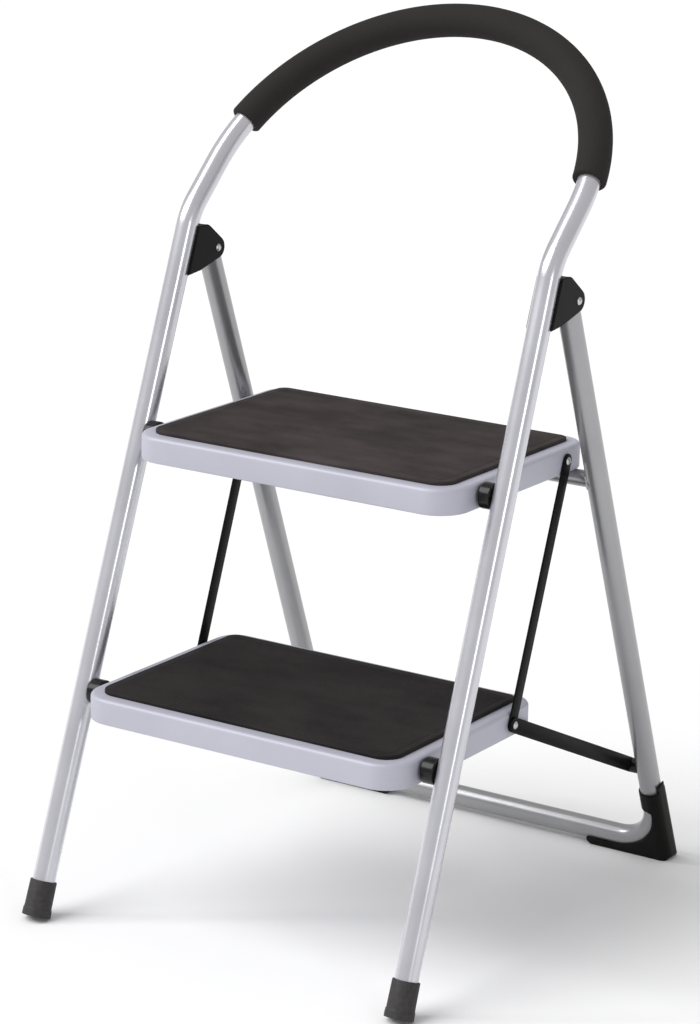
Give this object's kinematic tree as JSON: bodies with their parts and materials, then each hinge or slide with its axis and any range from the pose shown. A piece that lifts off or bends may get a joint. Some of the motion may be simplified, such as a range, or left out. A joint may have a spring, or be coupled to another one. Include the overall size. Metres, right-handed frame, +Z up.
{
  "type": "folding step stool",
  "caption": "Folding metal step stool with a looped hand rail, foam grip, ribbed rubber treads and a rear frame that folds flat against the front legs.",
  "frame": {"origin": "on the floor at the centre of the bounding box", "axes": "+X to the right of a person climbing, +Y from the front feet to the rear feet, +Z up"},
  "size_m": [0.4432, 0.5402, 0.8603],
  "materials": {
    "silver_tube_paint": "silver enamel, semi-gloss",
    "silver_step_paint": "silver enamel, satin",
    "tread_rubber": "fine ribbed, satin",
    "grip_foam": "closed-cell foam, matte",
    "tip_rubber": "matte",
    "black_moulding": "semi-gloss",
    "black_steel": "black enamel, semi-gloss",
    "rivet_steel": "zinc plated"
  },
  "bodies": {
    "front_frame": {"front_frame_tube": "silver_tube_paint", "handle_grip": "grip_foam", "front_tip_left": "tip_rubber", "front_tip_right": "tip_rubber", "hinge_bracket_left": "black_steel", "hinge_bracket_right": "black_steel", "bracket_rivets": "rivet_steel", "hinge_pins": "rivet_steel", "step_pivot_rivets": "rivet_steel", "upper_step_spacer_left": "black_moulding", "upper_step_spacer_right": "black_moulding", "lower_step_spacer_left": "black_moulding", "lower_step_spacer_right": "black_moulding"},
    "rear_frame": {"rear_frame_tube": "silver_tube_paint", "rear_brace": "silver_tube_paint", "rear_foot_left": "black_moulding", "rear_foot_right": "black_moulding", "strut_spacer_left": "black_moulding", "strut_spacer_right": "black_moulding"},
    "upper_step": {"upper_step_tray": "silver_step_paint", "upper_step_mat": "tread_rubber", "upper_link_rivets": "rivet_steel"},
    "lower_step": {"lower_step_tray": "silver_step_paint", "lower_step_mat": "tread_rubber", "lower_link_rivets": "rivet_steel"},
    "drop_link_left": {"drop_link_left": "black_steel"},
    "drop_link_right": {"drop_link_right": "black_steel"},
    "strut_left": {"strut_left": "black_steel", "strut_foot_rivet_left": "rivet_steel"},
    "strut_right": {"strut_right": "black_steel", "strut_foot_rivet_right": "rivet_steel"}
  },
  "joints": [
    {"name": "rear_frame_fold", "type": "hinge", "parent": "front_frame", "child": "rear_frame", "pos_m": [0, 0.00946, 0.6217], "axis": [-1, 0, 0], "range_deg": [0, 41.45]},
    {"name": "upper_step_pivot", "type": "hinge", "parent": "front_frame", "child": "upper_step", "pos_m": [0, -0.09418, 0.4542], "axis": [1, 0, 0], "range_deg": [0, 64.14]},
    {"name": "lower_step_pivot", "type": "hinge", "parent": "front_frame", "child": "lower_step", "pos_m": [0, -0.18078, 0.2143], "axis": [1, 0, 0], "range_deg": [0, 64.14]},
    {"name": "drop_link_left_pivot", "type": "hinge", "parent": "upper_step", "child": "drop_link_left", "pos_m": [0, 0.06132, 0.4542], "axis": [-1, 0, 0], "range_deg": [0, 64.14]},
    {"name": "strut_left_pivot", "type": "hinge", "parent": "lower_step", "child": "strut_left", "pos_m": [0, -0.02528, 0.2143], "axis": [-1, 0, 0], "range_deg": [0, 144.45]},
    {"name": "drop_link_right_pivot", "type": "hinge", "parent": "upper_step", "child": "drop_link_right", "pos_m": [0, 0.06132, 0.4542], "axis": [-1, 0, 0], "range_deg": [0, 64.14]},
    {"name": "strut_right_pivot", "type": "hinge", "parent": "lower_step", "child": "strut_right", "pos_m": [0, -0.02528, 0.2143], "axis": [-1, 0, 0], "range_deg": [0, 144.45]}
  ],
  "couplings": [
    {"joint": "upper_step_pivot", "follows": "rear_frame_fold", "ratio": 1.5468},
    {"joint": "lower_step_pivot", "follows": "rear_frame_fold", "ratio": 1.5468},
    {"joint": "drop_link_left_pivot", "follows": "rear_frame_fold", "ratio": 1.5468},
    {"joint": "strut_left_pivot", "follows": "rear_frame_fold", "ratio": 3.4843},
    {"joint": "drop_link_right_pivot", "follows": "rear_frame_fold", "ratio": 1.5468},
    {"joint": "strut_right_pivot", "follows": "rear_frame_fold", "ratio": 3.4843}
  ]
}
